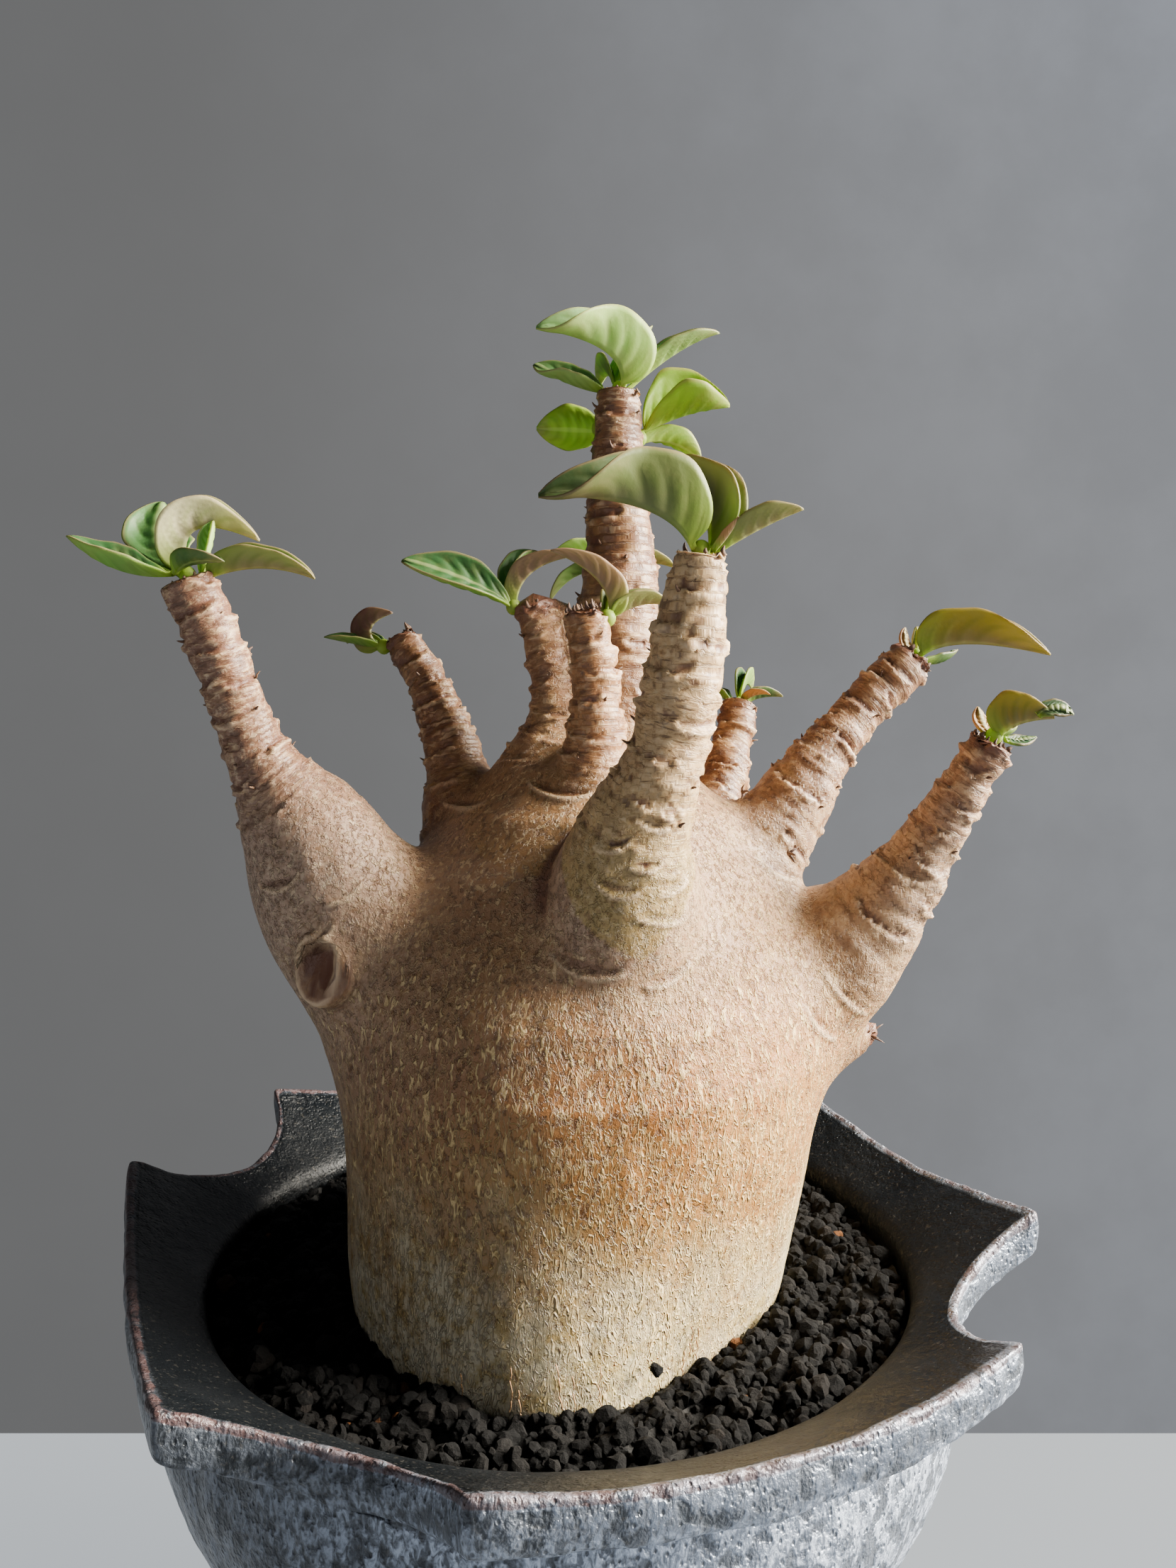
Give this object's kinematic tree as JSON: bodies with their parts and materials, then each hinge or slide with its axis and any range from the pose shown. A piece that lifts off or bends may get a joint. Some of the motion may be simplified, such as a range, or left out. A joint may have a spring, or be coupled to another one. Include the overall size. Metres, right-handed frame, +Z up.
{
  "type": "potted desert rose adenium",
  "caption": "Caudex plant in a stoneware pot: a swollen stem with ringed branches that end in rosettes of folded fleshy leaves, standing in dark granules in a round bowl whose flared rim has round bites.",
  "frame": {"origin": "middle of the pot's foot, on the table", "axes": "+Z up, the way the plant grows; -Y towards the viewer of the picture, with +X to the picture's right"},
  "size_m": [0.1472, 0.1429, 0.226],
  "materials": {
    "glaze": "satin, pitted",
    "granules": "rough",
    "bark": "satin, finely ridged",
    "leaf": "satin, fleshy",
    "net": "matte"
  },
  "bodies": {
    "root": {"pot": "glaze", "drain_mesh": "net", "soil": "granules", "caudex": "bark", "leaves_left": "leaf", "leaves_left_back": "leaf", "leaves_middle_left": "leaf", "leaves_middle": "leaf", "leaves_top": "leaf", "leaf_top_lower_left": "leaf", "leaves_top_lower_right": "leaf", "leaves_top_back": "leaf", "leaves_front": "leaf", "leaves_right_upper": "leaf", "leaves_right_lower": "leaf", "leaves_back": "leaf"}
  },
  "joints": []
}
